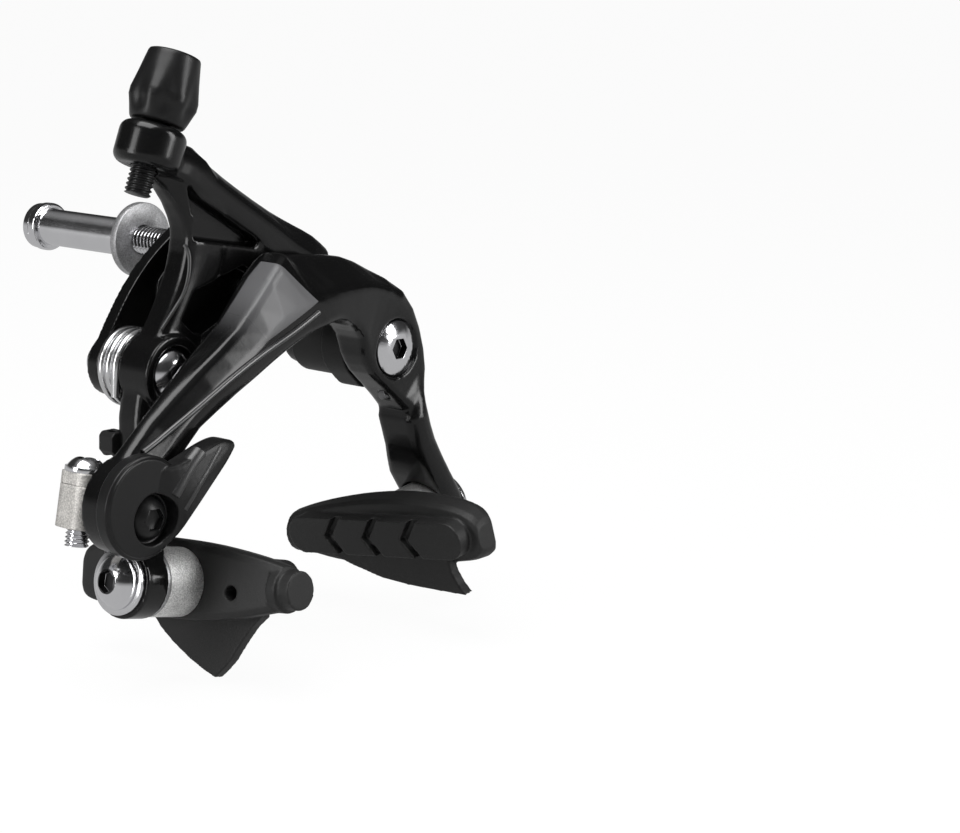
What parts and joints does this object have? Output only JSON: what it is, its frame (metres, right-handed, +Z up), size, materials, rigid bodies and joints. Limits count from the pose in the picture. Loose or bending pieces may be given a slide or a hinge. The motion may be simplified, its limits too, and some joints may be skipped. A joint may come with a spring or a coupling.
{
  "type": "dual-pivot caliper brake",
  "caption": "Dual-pivot side-pull bicycle rim brake: bracket, arched front arm, forked rear arm, cable adjuster, quick-release lever, cable anchor and finned pads.",
  "frame": {"origin": "on the centre bolt's axis, at the bracket's rear face, where it meets the fork", "axes": "+X to the right seen from the front, +Y back through the fork along the centre bolt, +Z up"},
  "size_m": [0.112, 0.107, 0.1212],
  "materials": {
    "gloss_black_paint": "gloss",
    "satin_black_paint": "satin",
    "chromed_steel": "polished",
    "bright_steel": "satin",
    "cast_aluminium": "as cast",
    "black_plastic": "matt",
    "bronze": "satin",
    "black_rubber": "matt"
  },
  "bodies": {
    "bracket": {"mounting_bracket": "gloss_black_paint", "centre_bolt": "chromed_steel", "mounting_washer": "bright_steel", "sleeve_nut": "chromed_steel", "left_pivot_bolt": "chromed_steel", "right_pivot_bolt": "chromed_steel", "left_spacer": "black_plastic", "right_spacer": "black_plastic", "left_return_spring": "chromed_steel", "right_return_spring": "chromed_steel"},
    "rear_arm": {"rear_arm": "gloss_black_paint", "left_bush": "bronze", "spring_stop": "black_plastic", "left_shoe_bolt": "chromed_steel", "left_bolt_washer": "bright_steel", "left_ball_washer": "cast_aluminium", "left_dish_washer": "cast_aluminium", "left_pad": "black_rubber"},
    "adjuster_stem": {"adjuster_stem": "satin_black_paint"},
    "adjuster_cap": {"adjuster_cap": "satin_black_paint"},
    "front_arm": {"front_arm": "gloss_black_paint", "right_bush": "bronze", "spring_cover": "black_plastic", "centring_screw": "chromed_steel", "roller_pin": "bright_steel", "right_shoe_bolt": "chromed_steel", "right_bolt_washer": "bright_steel", "right_ball_washer": "cast_aluminium", "right_dish_washer": "cast_aluminium", "right_pad": "black_rubber"},
    "link_roller": {"link_roller": "bright_steel"},
    "release_lever": {"release_lever": "satin_black_paint", "release_bolt": "satin_black_paint"},
    "cable_anchor": {"cable_anchor": "cast_aluminium", "anchor_plate": "cast_aluminium", "anchor_screw": "chromed_steel"}
  },
  "joints": [
    {"name": "front_arm_pivot", "type": "hinge", "parent": "bracket", "child": "front_arm", "pos_m": [0.028, -0.0226, -0.0203], "axis": [0, 1, 0], "range_deg": [0, 12], "stiffness_Nm_per_rad": 1.2, "springref_deg": -25.78, "deforming": ["right_return_spring"]},
    {"name": "rear_arm_pivot", "type": "hinge", "parent": "bracket", "child": "rear_arm", "pos_m": [-0.028, -0.014, -0.0203], "axis": [0, -1, 0], "range_deg": [0, 12], "stiffness_Nm_per_rad": 1.2, "springref_deg": -25.78, "deforming": ["left_return_spring"]},
    {"name": "roller_spin", "type": "hinge", "parent": "front_arm", "child": "link_roller", "pos_m": [0, -0.0218, -0.008], "axis": [0, 1, 0], "continuous": true},
    {"name": "adjuster_travel", "type": "slide", "parent": "rear_arm", "child": "adjuster_stem", "axis": [0.3535, 0, 0.9354], "range_m": [0, 0.004]},
    {"name": "adjuster_turn", "type": "hinge", "parent": "adjuster_stem", "child": "adjuster_cap", "pos_m": [-0.0305, -0.0175, 0.0235], "axis": [0.3535, 0, 0.9354], "range_deg": [0, 1440]},
    {"name": "release_lever_pivot", "type": "hinge", "parent": "front_arm", "child": "release_lever", "pos_m": [-0.0486, -0.0344, -0.043], "axis": [0, -1, 0], "range_deg": [0, 90]},
    {"name": "cable_anchor_swivel", "type": "hinge", "parent": "front_arm", "child": "cable_anchor", "pos_m": [-0.0486, -0.0344, -0.043], "axis": [0, 1, 0], "range_deg": [-25, 25]}
  ],
  "couplings": [
    {"joint": "rear_arm_pivot", "follows": "front_arm_pivot", "ratio": 1},
    {"joint": "adjuster_travel", "follows": "adjuster_turn", "m_per_rad": 0.00015915}
  ]
}
